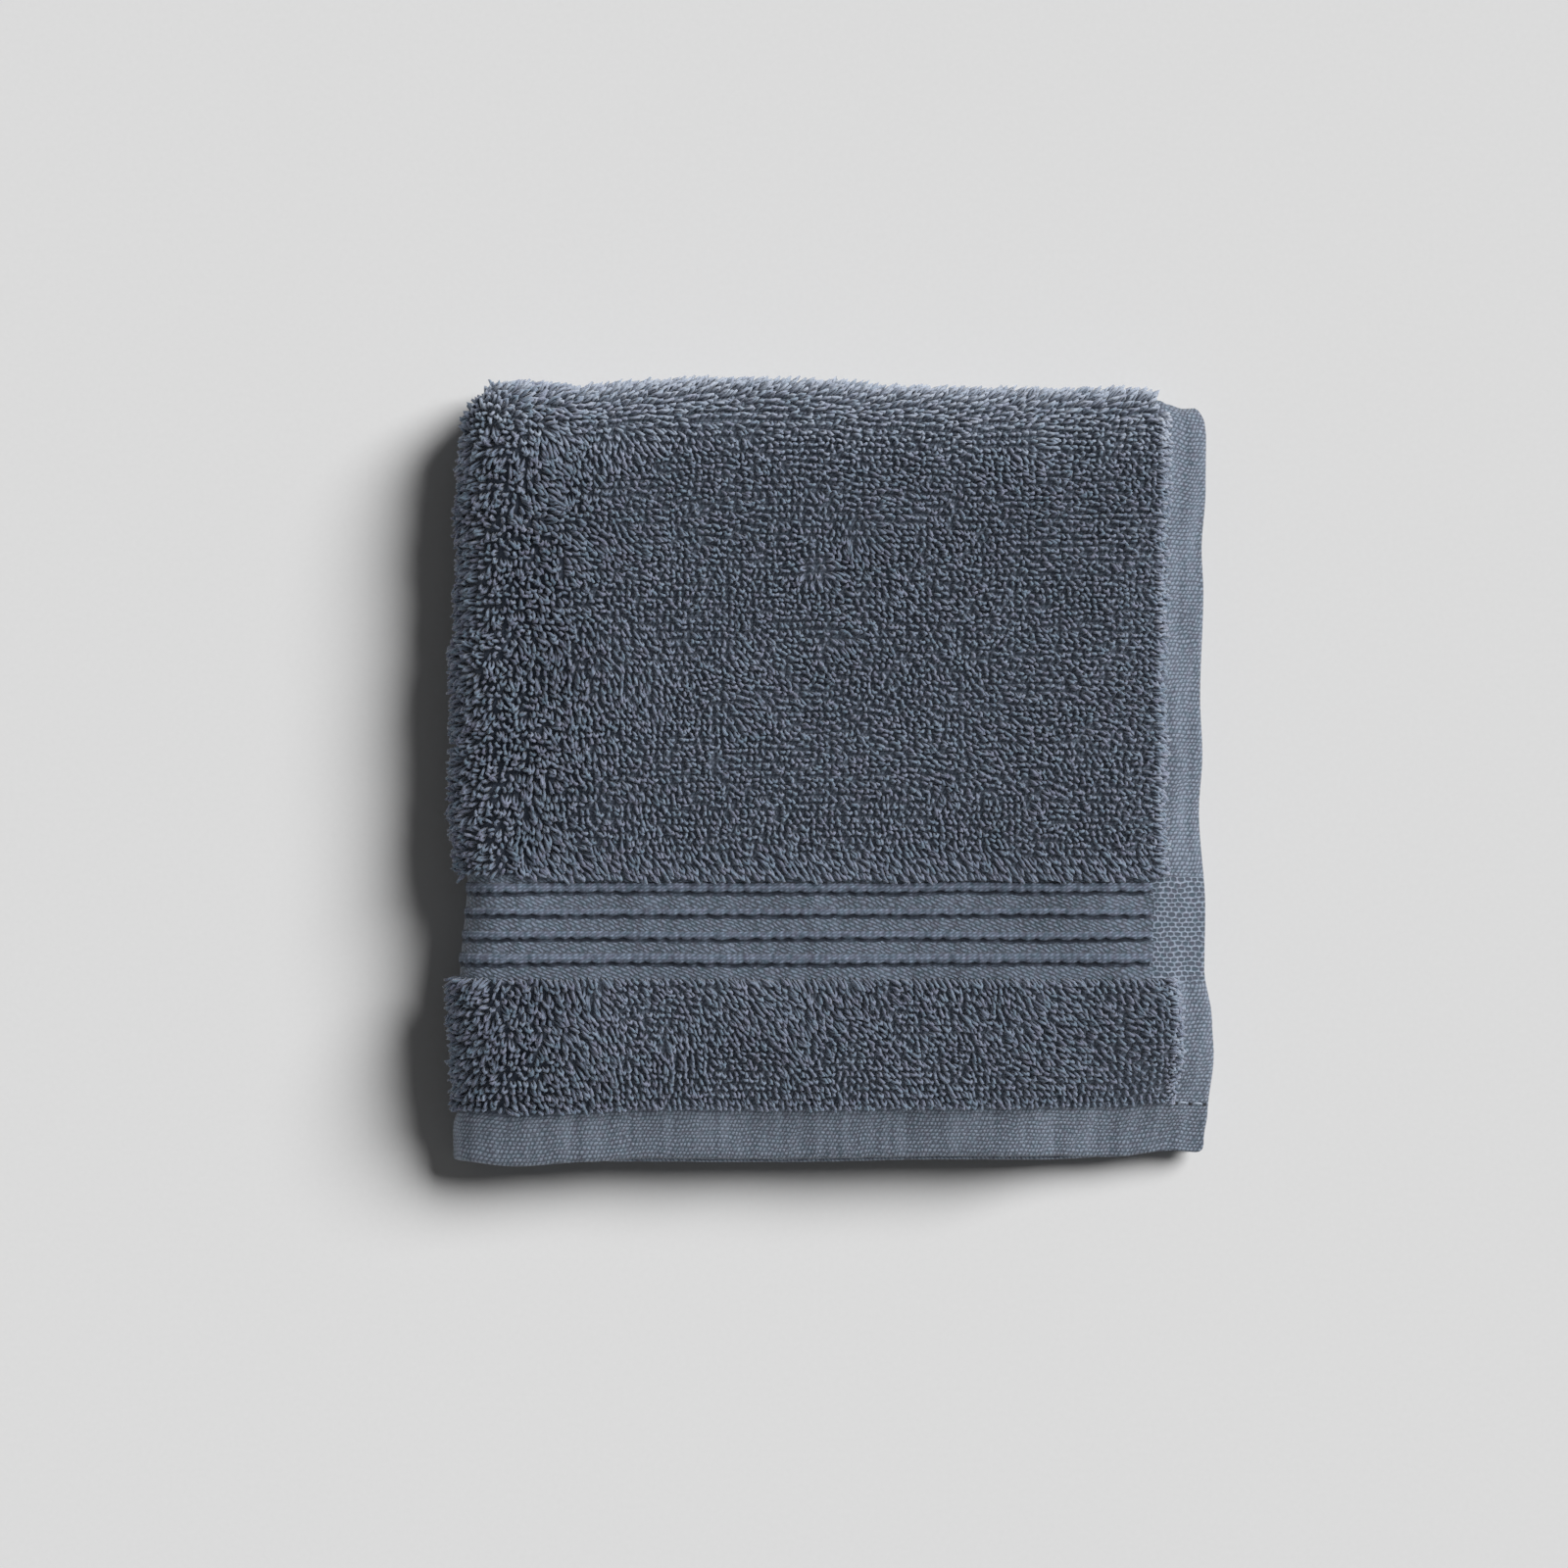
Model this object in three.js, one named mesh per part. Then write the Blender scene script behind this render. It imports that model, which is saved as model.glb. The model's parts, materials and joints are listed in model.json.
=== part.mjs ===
import * as THREE from 'three';

// A terry washcloth folded in quarters and laid flat, in millimetres with +Z up.
// X runs from the round side fold to the side hems, Y from the end hems to the top fold.
// The cloth is doubled once at the top fold, and the pair is doubled again at the side fold,
// so the outer layer is the uppermost and the lowest one, and the inner layer is between them.

// The cloth before folding
const clothWidth = 326;
const clothLength = 330;
const pileHalf = 2.7;
const hemHalf = 1.1;
const bandHalf = 0.6;
const sideHem = 7.4;
const endHem = 10;
const hemEdge = 0.8;
const hemEdgeShare = 0.5;
const pileShoulder = 1.3;

// The woven band near one end, measured from the edge of the end hem
const bandStart = 39.2;
const bandEnd = 60.4;
const ribHeight = 0.6;
const ribFlank = 0.35;
const ribAtFold = 0.4;
const ribs = [
  { centre: 43.7, width: 1.9 },
  { centre: 48.6, width: 1.3 },
  { centre: 53.8, width: 1.3 },
  { centre: 59.1, width: 1.7 },
];

// How the layers are folded on each other
const layerGap = 0.6;
const foldPileRise = 1.2;
const foldPilePinch = 0.8;
const hemCreaseShare = 0.5;
const creasePinchWidth = 9;
const cornerHemRise = 0.3;

// How far each layer's side hem stops short of the uppermost one
const hemStep = { outerLower: 1.4, innerUpper: 1.1, innerLower: 2.2 };

// The inner layer's end hem shows past the uppermost one between two places, and is short elsewhere
const endPeek = { from: 30, to: 116, fade: 22, reach: 0.9, short: 0.7 };

// The thin hems sink below the pile beside them, steeper towards their edges
const sideDroop = { width: 25, share: 0.36 };
const endDroop = { width: 29, share: 0.4 };
const topDroop = { width: 26, share: 0.05 };

// Where the two hems meet nothing is padded with pile, so that corner sinks further
const cornerDroop = { from: 108, to: 131, depth: 40, share: 0.45 };
const hemSettle = 0.7;

// Long shallow waves over the whole stack, as shares of its height. A negative length slants
// the crests the other way.
const swells = [
  { share: 0.016, lengthX: 74, lengthY: 118, phase: 0.4 },
  { share: 0.012, lengthX: -41, lengthY: 63, phase: 2.1 },
  { share: 0.009, lengthX: 29, lengthY: 37, phase: 4.0 },
];

// How far each edge stands out of its straight line, at places along that edge
const leftEdge = [
  { at: 2, out: 1.7 },
  { at: 8, out: 1.7 },
  { at: 13, out: 0 },
  { at: 24, out: 0.5 },
  { at: 38, out: 1 },
  { at: 62, out: -0.7 },
  { at: 79, out: 0.8 },
  { at: 89, out: 0.2 },
  { at: 97, out: 0.1 },
  { at: 108, out: 0.5 },
  { at: 115, out: -0.7 },
  { at: 122, out: -0.6 },
  { at: 129, out: -1.1 },
  { at: 140, out: -0.5 },
  { at: 147, out: -1.4 },
  { at: 153, out: -1.4 },
  { at: 160, out: -2.4 },
  { at: 166, out: -3.2 },
];
const rightEdge = [
  { at: 3, out: 0.9 },
  { at: 9, out: 1.6 },
  { at: 22, out: 2.7 },
  { at: 30, out: 2.2 },
  { at: 41, out: 0.5 },
  { at: 54, out: 0.7 },
  { at: 75, out: -0.6 },
  { at: 87, out: 0.1 },
  { at: 99, out: -0.4 },
  { at: 122, out: 0.3 },
  { at: 131, out: -0.1 },
  { at: 145, out: 0.8 },
  { at: 158, out: 0.9 },
  { at: 165, out: -0.3 },
];
const topEdge = [
  { at: -10, out: -1.6 },
  { at: -4, out: 0.6 },
  { at: 16, out: -0.4 },
  { at: 29, out: 0.8 },
  { at: 45, out: 1.3 },
  { at: 62, out: 0.9 },
  { at: 80, out: -0.4 },
  { at: 100, out: -1 },
  { at: 117, out: -1.1 },
  { at: 137, out: -1 },
  { at: 141, out: -0.6 },
  { at: 145, out: -1.7 },
  { at: 149, out: -1.9 },
];
const bottomEdge = [
  { at: -9, out: 0.4 },
  { at: 3, out: 1.4 },
  { at: 17, out: 0.4 },
  { at: 29, out: -0.3 },
  { at: 60, out: -0.2 },
  { at: 92, out: -0.8 },
  { at: 115, out: -0.7 },
  { at: 130, out: -0.3 },
  { at: 142, out: -1.7 },
  { at: 148, out: -1.2 },
];
const edgeReach = { side: 26, end: 30 };

// How finely the surface is divided
const foldSteps = 10;
const sideSpacing = 12.5;
const endSpacing = 9.5;

// Sizes that follow
const layerStep = 2 * pileHalf + layerGap;
const creaseRadius = layerStep / 2;
const packRadius = layerStep;
const outerRadius = packRadius + creaseRadius;
const stackHalf = outerRadius + pileHalf;
const creaseY = (clothLength - Math.PI * creaseRadius) / 2;
const hemX = (clothWidth - Math.PI * outerRadius) / 2;

function mix(a, b, share) {
  return a + (b - a) * share;
}

function steepening(value, from, to) {
  return Math.min(Math.max((value - from) / (to - from), 0), 1) ** 2;
}

function smooth(value, from, to) {
  const share = Math.min(Math.max((value - from) / (to - from), 0), 1);
  return share * share * (3 - 2 * share);
}

function edgeOut(edge, place) {
  const last = edge.length - 1;
  if (place <= edge[0].at) return edge[0].out;
  if (place >= edge[last].at) return edge[last].out;
  const next = edge.findIndex((row) => row.at > place);
  const [low, high] = [edge[next - 1], edge[next]];
  return mix(low.out, high.out, smooth(place, low.at, high.at));
}

// How far the ribs stand over the band, at a place along the cloth
function ribRise(along) {
  let rise = 0;
  for (const rib of ribs) {
    const fromTop = Math.abs(along - rib.centre) - (rib.width / 2 - ribFlank);
    rise = Math.max(rise, ribHeight * (1 - Math.min(Math.max(fromTop / ribFlank, 0), 1)));
  }
  return rise;
}

// 1 where loops stand, 0 on the end hems and the band
function pileShare(along, banded) {
  const pastHem = smooth(along, endHem, endHem + pileShoulder);
  if (!banded) return pastHem;
  const beforeBand = 1 - smooth(along, bandStart - pileShoulder, bandStart);
  const pastBand = smooth(along, bandEnd, bandEnd + pileShoulder);
  return pastHem * Math.max(beforeBand, pastBand);
}

// Thickness to both faces of the cloth at a row and a column of its surface. Flat woven stretches
// keep their thickness where the stack sinks, and the pile gives way. Ribs pull flat round the fold.
function thickness(row, column) {
  const beyondSide = smooth(column.fromHem, sideHem, sideHem + pileShoulder);
  const pile = pileShare(row.along, row.banded) * beyondSide;
  const bandShoulders = [bandStart - pileShoulder, bandEnd + pileShoulder];
  const inBand = row.banded && row.along > bandShoulders[0] && row.along < bandShoulders[1];
  const flat = inBand ? mix(hemHalf, bandHalf, beyondSide) : hemHalf;
  const edgeDistance = Math.min(row.along, column.fromHem);
  const edge = mix(hemEdgeShare, 1, smooth(edgeDistance, 0, hemEdge));
  const crease = Math.sin(row.turn) ** 2;
  const bend = Math.cos(column.angle) ** 2;
  const rib = row.banded ? ribRise(row.along) * beyondSide * mix(1, ribAtFold, bend) : 0;
  const overlapped = row.banded && row.along < endHem && column.fromHem < sideHem + hemEdge;
  const corner = overlapped ? cornerHemRise : 0;
  const share = stackShare(hemX - column.fromHem, row.y);
  const woven = (raised) => Math.min((flat * edge + raised) / share, pileHalf);

  const inner = (1 - Math.cos(row.turn)) / 2;
  const rise = foldPileRise * Math.max(crease, bend * (1 - inner));
  const pinch = foldPilePinch * bend * inner ** 2;
  return {
    outward: mix(woven(rib + corner * edge), pileHalf + rise - pinch, pile),
    inward: mix(woven(0), pileHalf - foldPilePinch * crease, pile),
  };
}

// Rows of the surface, from the banded end hem of the outer layer, round the top fold,
// to the plain end hem of the inner layer
function evenPlaces(from, to, spacing) {
  const count = Math.max(Math.round((to - from) / spacing), 1);
  return Array.from({ length: count + 1 }, (_, step) => mix(from, to, step / count));
}

function hemPlaces(hem) {
  return [0, hemEdge, hem, hem + pileShoulder];
}

function ribPlaces(rib) {
  const half = rib.width / 2;
  return [-half, ribFlank - half, half - ribFlank, half].map((place) => rib.centre + place);
}

const stripPlaces = evenPlaces(endHem + pileShoulder, bandStart - pileShoulder, endSpacing).slice(1);
const pilePlaces = evenPlaces(bandEnd + pileShoulder, creaseY, endSpacing);

function outerRows() {
  const band = [bandStart, ...ribs.flatMap(ribPlaces), bandEnd];
  const places = [...hemPlaces(endHem), ...stripPlaces, ...band, ...pilePlaces];
  return places.map((along) => ({ along, y: along, turn: 0, banded: true }));
}

function creaseRows() {
  const turns = evenPlaces(0, Math.PI, Math.PI / foldSteps).slice(1, -1);
  return turns.map((turn) => ({ along: creaseY, y: creaseY, turn, banded: turn < Math.PI / 2 }));
}

function innerRows() {
  const band = evenPlaces(bandStart, bandEnd, endSpacing);
  const places = [...hemPlaces(endHem), ...stripPlaces, ...band, ...pilePlaces.slice(0, -1)];
  const rows = places.map((along) => ({ along, y: along, turn: Math.PI, banded: false }));
  return [...rows, { along: creaseY, y: creaseY, turn: Math.PI, banded: false }].reverse();
}

// Columns of the surface, from the side hem of the upper half, round the side fold,
// to the side hem of the lower half
function straightColumns(side) {
  const pile = evenPlaces(sideHem + pileShoulder, hemX, sideSpacing).slice(1, -1);
  const places = [...hemPlaces(sideHem), ...pile];
  const angle = side * Math.PI / 2;
  return places.map((fromHem) => ({ fromHem, angle, side }));
}

function bendColumns() {
  const angles = evenPlaces(Math.PI / 2, -Math.PI / 2, -Math.PI / foldSteps);
  return angles.map((angle) => ({ fromHem: hemX, angle, side: Math.sign(angle) }));
}

// One layer's side hem stops a little short of the next
function hemReach(row, column) {
  const inner = (1 - Math.cos(row.turn)) / 2;
  const outerStep = column.side < 0 ? hemStep.outerLower : 0;
  const innerStep = column.side < 0 ? hemStep.innerLower : hemStep.innerUpper;
  return hemX - mix(outerStep, innerStep, inner);
}

function endReach(row, x) {
  const inside = smooth(x, endPeek.from - endPeek.fade, endPeek.from)
    * (1 - smooth(x, endPeek.to, endPeek.to + endPeek.fade));
  const nearEnd = 1 - smooth(row.y, 0, creaseY);
  const inner = (1 - Math.cos(row.turn)) / 2;
  return mix(-endPeek.short, endPeek.reach, inside) * nearEnd * inner;
}

// Rows and columns to a point in space: first the top fold, then the side fold
function foldedPoint(row, column, offset) {
  const nearHem = 1 - smooth(column.fromHem, sideHem, sideHem + creasePinchWidth);
  const creaseDepth = creaseRadius * mix(1, hemCreaseShare, nearHem);
  const height = (creaseRadius + offset) * Math.cos(row.turn);
  const radius = packRadius + height;
  const straight = hemReach(row, column) * (1 - column.fromHem / hemX);
  const x = straight - radius * Math.cos(column.angle);
  const y = row.y + (creaseDepth + offset) * Math.sin(row.turn) - endReach(row, x);
  return new THREE.Vector3(x, y, stackHalf + radius * Math.sin(column.angle));
}

// The stack's height over its underside, as a share of its full height
function stackShare(x, y) {
  const side = sideDroop.share * steepening(x, hemX - sideDroop.width, hemX);
  const end = endDroop.share * steepening(-y, -endDroop.width, 0);
  const top = topDroop.share * steepening(y, creaseY - topDroop.width, creaseY);
  const cornered = smooth(x, cornerDroop.from, cornerDroop.to) * (1 - smooth(y, 0, cornerDroop.depth));
  let share = (1 - Math.hypot(side, end) - top) * (1 - cornerDroop.share * cornered);
  for (const swell of swells) {
    const wave = 2 * Math.PI * (x / swell.lengthX + y / swell.lengthY) + swell.phase;
    share += swell.share * Math.sin(wave);
  }
  return share;
}

// The outline wavers and the stack sinks towards its hems, while its underside stays flat
function settle(point) {
  const { x, y } = point;
  const left = edgeOut(leftEdge, y) * (1 - smooth(x, -stackHalf, edgeReach.side));
  const right = edgeOut(rightEdge, y) * smooth(x, hemX - edgeReach.side, hemX);
  const top = edgeOut(topEdge, x) * smooth(y, creaseY - edgeReach.end, creaseY);
  const bottom = edgeOut(bottomEdge, x) * (1 - smooth(y, 0, edgeReach.end));
  const onSideHem = smooth(x, hemX - sideHem - pileShoulder, hemX - sideHem / 2);
  const onEndHem = 1 - smooth(y, endHem / 2, endHem + pileShoulder);
  const lowered = hemSettle * Math.max(onSideHem, onEndHem);
  const height = point.z * stackShare(x, y);
  const z = height - Math.min(lowered, height / 2);
  return new THREE.Vector3(x + right - left, y + top - bottom, z);
}

// A closed surface over the grid: the outward face, the inward face and the rim that joins them
function washclothGeometry() {
  const rows = [...outerRows(), ...creaseRows(), ...innerRows()];
  const columns = [...straightColumns(1), ...bendColumns(), ...straightColumns(-1).reverse()];
  const points = [];
  for (const row of rows) {
    for (const column of columns) {
      const { outward, inward } = thickness(row, column);
      points.push(settle(foldedPoint(row, column, outward)));
      points.push(settle(foldedPoint(row, column, -inward)));
    }
  }

  const outside = (row, column) => 2 * (row * columns.length + column);
  const inside = (row, column) => outside(row, column) + 1;
  const index = [];
  const quad = (a, b, c, d) => index.push(a, b, c, a, c, d);
  const lastRow = rows.length - 1;
  const lastColumn = columns.length - 1;
  for (let r = 0; r < lastRow; r += 1) {
    for (let c = 0; c < lastColumn; c += 1) {
      quad(outside(r, c), outside(r + 1, c), outside(r + 1, c + 1), outside(r, c + 1));
      quad(inside(r, c), inside(r, c + 1), inside(r + 1, c + 1), inside(r + 1, c));
    }
  }
  // The rim, across from each corner of its quads to the next
  const rim = (from, to) => quad(outside(...from), inside(...from), inside(...to), outside(...to));
  for (let r = 0; r < lastRow; r += 1) {
    rim([r, 0], [r + 1, 0]);
    rim([r + 1, lastColumn], [r, lastColumn]);
  }
  for (let c = 0; c < lastColumn; c += 1) {
    rim([0, c + 1], [0, c]);
    rim([lastRow, c], [lastRow, c + 1]);
  }

  const geometry = new THREE.BufferGeometry().setFromPoints(points);
  geometry.setIndex(index);
  geometry.computeBoundingBox();
  const middle = geometry.boundingBox.getCenter(new THREE.Vector3());
  geometry.translate(-middle.x, -middle.y, 0);
  geometry.computeVertexNormals();
  return geometry;
}

const terryCotton = new THREE.MeshStandardMaterial({ color: 0x5f6877, roughness: 0.95, metalness: 0 });
const cloth = new THREE.Mesh(washclothGeometry(), terryCotton);
cloth.name = 'washcloth';

const washcloth = new THREE.Group();
washcloth.add(cloth);

export default washcloth;
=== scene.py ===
import json
import math
import bpy
import numpy as np
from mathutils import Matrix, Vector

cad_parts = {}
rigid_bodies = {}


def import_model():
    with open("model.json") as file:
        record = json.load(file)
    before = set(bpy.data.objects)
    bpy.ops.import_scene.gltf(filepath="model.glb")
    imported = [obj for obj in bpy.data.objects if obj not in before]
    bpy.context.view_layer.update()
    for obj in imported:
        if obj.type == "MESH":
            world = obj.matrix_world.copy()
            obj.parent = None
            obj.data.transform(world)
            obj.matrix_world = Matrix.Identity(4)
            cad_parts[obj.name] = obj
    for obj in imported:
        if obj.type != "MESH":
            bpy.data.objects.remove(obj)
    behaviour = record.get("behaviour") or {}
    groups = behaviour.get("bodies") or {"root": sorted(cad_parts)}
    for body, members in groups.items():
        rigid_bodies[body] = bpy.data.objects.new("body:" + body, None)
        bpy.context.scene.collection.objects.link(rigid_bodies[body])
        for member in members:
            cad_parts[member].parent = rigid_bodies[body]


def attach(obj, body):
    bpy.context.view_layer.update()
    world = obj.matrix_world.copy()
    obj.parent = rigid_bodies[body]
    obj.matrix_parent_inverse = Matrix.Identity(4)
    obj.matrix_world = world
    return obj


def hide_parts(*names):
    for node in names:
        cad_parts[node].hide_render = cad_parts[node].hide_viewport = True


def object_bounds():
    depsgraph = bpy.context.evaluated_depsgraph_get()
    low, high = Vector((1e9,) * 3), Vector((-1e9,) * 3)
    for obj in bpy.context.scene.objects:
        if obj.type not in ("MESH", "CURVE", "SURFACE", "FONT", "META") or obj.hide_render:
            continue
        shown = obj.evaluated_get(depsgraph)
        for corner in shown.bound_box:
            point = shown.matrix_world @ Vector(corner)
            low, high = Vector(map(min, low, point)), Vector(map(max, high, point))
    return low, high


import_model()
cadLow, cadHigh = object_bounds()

# A grey-blue terry washcloth folded in quarters, seen from straight above on a pale floor.
# Lengths are millimetres in the tables and functions, and metres once they are in a mesh.
metre = 0.001

# The cloth as it is cut, before folding. u runs across from the uppermost side hem to the lowest one,
# v runs along from the banded end hem, over the top fold, to the plain end hem.
cloth = {
    "width": 326.0,
    "length": 330.0,
    "pileHalf": 2.7,  # from the middle of the ground weave to the tips of the loops
    "groundHalf": 0.45,
    "hemHalf": 1.0,
    "bandHalf": 0.5,
    "sideHem": 11.3,  # turned width of the hems
    "endHem": 12.5,
    "sideBare": 7.4,  # how much of it the loops leave bare
    "endBare": 10.0,
    "hemEdge": 0.9,
    "shoulder": 1.3,
    "bandStart": 39.2,
    "bandEnd": 60.4,
}
clothWidth, clothLength, sideHem, endHem = (cloth[key] for key in ("width", "length", "sideHem", "endHem"))
sideBare, endBare, bandStart, bandEnd = (
    cloth[key] for key in ("sideBare", "endBare", "bandStart", "bandEnd"))

# How the layers lie on each other, as in the solid that this cloth stands for
folds = {
    "layerGap": 0.6,
    "pileRise": 1.2,
    "pilePinch": 0.8,
    "hemCrease": 0.5,
    "creasePinchWidth": 9.0,
    "hemStep": {"outerLower": 1.4, "innerUpper": 1.1, "innerLower": 2.2},
    "endPeek": {"from": 30.0, "to": 116.0, "fade": 22.0, "reach": 0.9, "short": 0.7},
    "sideDroop": (25.0, 0.36),  # how far in the layers sink towards an edge, and by what share
    "endDroop": (29.0, 0.4),
    "topDroop": (26.0, 0.05),
    "cornerDroop": {"from": 108.0, "to": 131.0, "depth": 40.0, "share": 0.45},
    "hemSettle": 0.7,
    # share of the height, wavelengths across and along, and phase
    "swells": [(0.016, 74.0, 118.0, 0.4), (0.012, -41.0, 63.0, 2.1), (0.009, 29.0, 37.0, 4.0)],
    "edgeReach": {"side": 26.0, "end": 30.0},
}

# How far each edge of the folded cloth stands out, at places along it: (place, out)
outline = {
    "left": [(2, 1.7), (8, 1.7), (13, 0), (24, 0.5), (38, 1), (62, -0.7), (79, 0.8), (89, 0.2), (97, 0.1),
             (108, 0.5), (115, -0.7), (122, -0.6), (129, -1.1), (140, -0.5), (147, -1.4), (153, -1.4),
             (160, -2.4), (166, -3.2)],
    "right": [(3, 0.9), (9, 1.6), (22, 2.7), (30, 2.2), (41, 0.5), (54, 0.7), (75, -0.6), (87, 0.1),
              (99, -0.4), (122, 0.3), (131, -0.1), (145, 0.8), (158, 0.9), (165, -0.3)],
    "top": [(-10, -1.6), (-4, 0.6), (16, -0.4), (29, 0.8), (45, 1.3), (62, 0.9), (80, -0.4), (100, -1.0),
            (117, -1.1), (137, -1.0), (141, -0.6), (145, -1.7), (149, -1.9)],
    "bottom": [(-9, 0.4), (3, 1.4), (17, 0.4), (29, -0.3), (60, -0.2), (92, -0.8), (115, -0.7),
               (130, -0.3), (142, -1.7), (148, -1.2)],
}

layerStep = 2 * cloth["pileHalf"] + folds["layerGap"]
creaseRadius = layerStep / 2
packRadius = layerStep
outerRadius = packRadius + creaseRadius
stackHalf = outerRadius + cloth["pileHalf"]
creaseY = (clothLength - math.pi * creaseRadius) / 2
hemX = (clothWidth - math.pi * outerRadius) / 2
bendLength = math.pi * outerRadius
creaseLength = math.pi * creaseRadius


def mix(a, b, share):
    return a + (b - a) * share


def ramp(value, start, end):
    return np.clip((value - start) / (end - start), 0, 1)


def smooth(value, start, end):
    share = ramp(value, start, end)
    return share * share * (3 - 2 * share)


def edgeOut(rows, place):
    places = np.array([row[0] for row in rows], float)
    outs = np.array([row[1] for row in rows], float)
    low = np.clip(np.searchsorted(places, place) - 1, 0, len(rows) - 2)
    return mix(outs[low], outs[low + 1], smooth(place, places[low], places[low + 1]))


def stackShare(x, y):
    side, end, top = (share * ramp(value, edge - width, edge) ** 2 for value, edge, (width, share) in (
        (x, hemX, folds["sideDroop"]), (-y, 0, folds["endDroop"]), (y, creaseY, folds["topDroop"])))
    corner = folds["cornerDroop"]
    cornered = smooth(x, corner["from"], corner["to"]) * (1 - smooth(y, 0, corner["depth"]))
    share = (1 - np.hypot(side, end) - top) * (1 - corner["share"] * cornered)
    for height, across, along, phase in folds["swells"]:
        share = share + height * np.sin(2 * math.pi * (x / across + y / along) + phase)
    return share


def fromSides(u):
    return np.minimum(u, clothWidth - u)


def fromEnds(v):
    return np.minimum(v, clothLength - v)


def within(value, start, end, soft):
    # 1 from start to end, fading out on either side
    return smooth(value, start - soft, start) * (1 - smooth(value, end, end + soft))


def clothPlace(u, v):
    # where a point of the flat cloth is along the folds
    fromHem = np.minimum(fromSides(u), hemX)
    angle = math.pi / 2 - np.clip((u - hemX) / outerRadius, 0, math.pi)
    turn = np.clip((v - creaseY) / creaseRadius, 0, math.pi)
    return fromHem, angle, turn, np.minimum(fromEnds(v), creaseY), (1 - np.cos(turn)) / 2


def foldedPoint(u, v, offset):
    # the top fold first, then the side fold, then the settling of the stack
    fromHem, angle, turn, y, inner = clothPlace(u, v)
    lower = u > clothWidth / 2
    step = folds["hemStep"]
    short = mix(np.where(lower, step["outerLower"], 0),
                np.where(lower, step["innerLower"], step["innerUpper"]), inner)
    nearHem = 1 - smooth(fromHem, sideBare, sideBare + folds["creasePinchWidth"])
    creaseDepth = creaseRadius * mix(1, folds["hemCrease"], nearHem)
    radius = packRadius + (creaseRadius + offset) * np.cos(turn)
    x = (hemX - short) * (1 - fromHem / hemX) - radius * np.cos(angle)
    peek = folds["endPeek"]
    inside = within(x, peek["from"], peek["to"], peek["fade"])
    endShift = mix(-peek["short"], peek["reach"], inside) * (1 - smooth(y, 0, creaseY)) * inner
    y = y + (creaseDepth + offset) * np.sin(turn) - endShift
    z = stackHalf + radius * np.sin(angle)

    reach = folds["edgeReach"]
    left = edgeOut(outline["left"], y) * (1 - smooth(x, -stackHalf, reach["side"]))
    right = edgeOut(outline["right"], y) * smooth(x, hemX - reach["side"], hemX)
    top = edgeOut(outline["top"], x) * smooth(y, creaseY - reach["end"], creaseY)
    bottom = edgeOut(outline["bottom"], x) * (1 - smooth(y, 0, reach["end"]))
    bareX = hemX - sideBare
    onSide = smooth(x, bareX - cloth["shoulder"], bareX + sideBare / 2)
    onEnd = 1 - smooth(y, endBare / 2, endBare + cloth["shoulder"])
    height = z * stackShare(x, y)
    z = height - np.minimum(folds["hemSettle"] * np.maximum(onSide, onEnd), height / 2)
    return np.stack([x + right - left, y + top - bottom, z], -1)


def nearSideFold(u):
    # 1 round the side fold, fading out over the few centimetres beside it
    return smooth(fromSides(u), hemX - 27, hemX - 4)


def pileReach(u, v):
    # how far from the middle of the ground the tips of the loops come
    fromHem, angle, turn, y, inner = clothPlace(u, v)
    bend = np.cos(angle) ** 2
    rise = folds["pileRise"] * np.maximum(np.sin(turn) ** 2, bend * (1 - inner))
    return cloth["pileHalf"] + rise - folds["pilePinch"] * bend * inner ** 2


# The cloth stands where its solid does: the outline of the pile is centred as the solid's box is
acrossAll, alongAll = np.meshgrid(np.linspace(0, clothWidth, 400), np.linspace(0, clothLength, 400))
piled = (fromSides(acrossAll) > sideBare) & (alongAll > endBare)
reachAll = np.where(piled, pileReach(acrossAll, alongAll), cloth["hemHalf"])
shellPoints = foldedPoint(acrossAll, alongAll, reachAll).reshape(-1, 3)
boxMiddle = (shellPoints.min(0) + shellPoints.max(0))[:2] / 2
cadMiddle = (np.array(cadLow) + np.array(cadHigh))[:2] / 2 / metre
frameShift = np.append(cadMiddle - boxMiddle, 0)


floorGap = 0.02  # nothing of the cloth sinks into what it lies on


def clothPoint(u, v, offset):
    # pressed flat where it would sink in
    point = foldedPoint(u, v, offset) + frameShift
    point[..., 2] = np.maximum(point[..., 2], floorGap)
    return point


def smoothNoise(u, v, scale, seed):
    # soft random swells between -1 and 1, about scale millimetres across
    grid = np.random.default_rng(seed).uniform(-1, 1, (64, 64))
    a, b = u / scale, v / scale
    i, j = np.floor(a).astype(int), np.floor(b).astype(int)
    fa, fb = smooth(a - i, 0, 1), smooth(b - j, 0, 1)
    near, far = (mix(grid[i % 64, k % 64], grid[(i + 1) % 64, k % 64], fa) for k in (j, j + 1))
    return mix(near, far, fb)


# Materials

def linearColour(hexColour):
    channels = [int(hexColour[i:i + 2], 16) / 255 for i in (1, 3, 5)]
    return (*[c / 12.92 if c <= 0.04045 else ((c + 0.055) / 1.055) ** 2.4 for c in channels], 1.0)


def setInputs(tree, node, inputs):
    # what goes in is a value, a hex colour, a socket, or a node, whose first live output is then meant
    for key, value in inputs.items() if isinstance(inputs, dict) else enumerate(inputs):
        if isinstance(value, bpy.types.Node):
            value = next(socket for socket in value.outputs if socket.enabled)
        if isinstance(value, bpy.types.NodeSocket):
            tree.links.new(value, node.inputs[key])
        elif isinstance(value, str) and value.startswith("#"):
            node.inputs[key].default_value = linearColour(value)
        else:
            node.inputs[key].default_value = value


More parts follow.
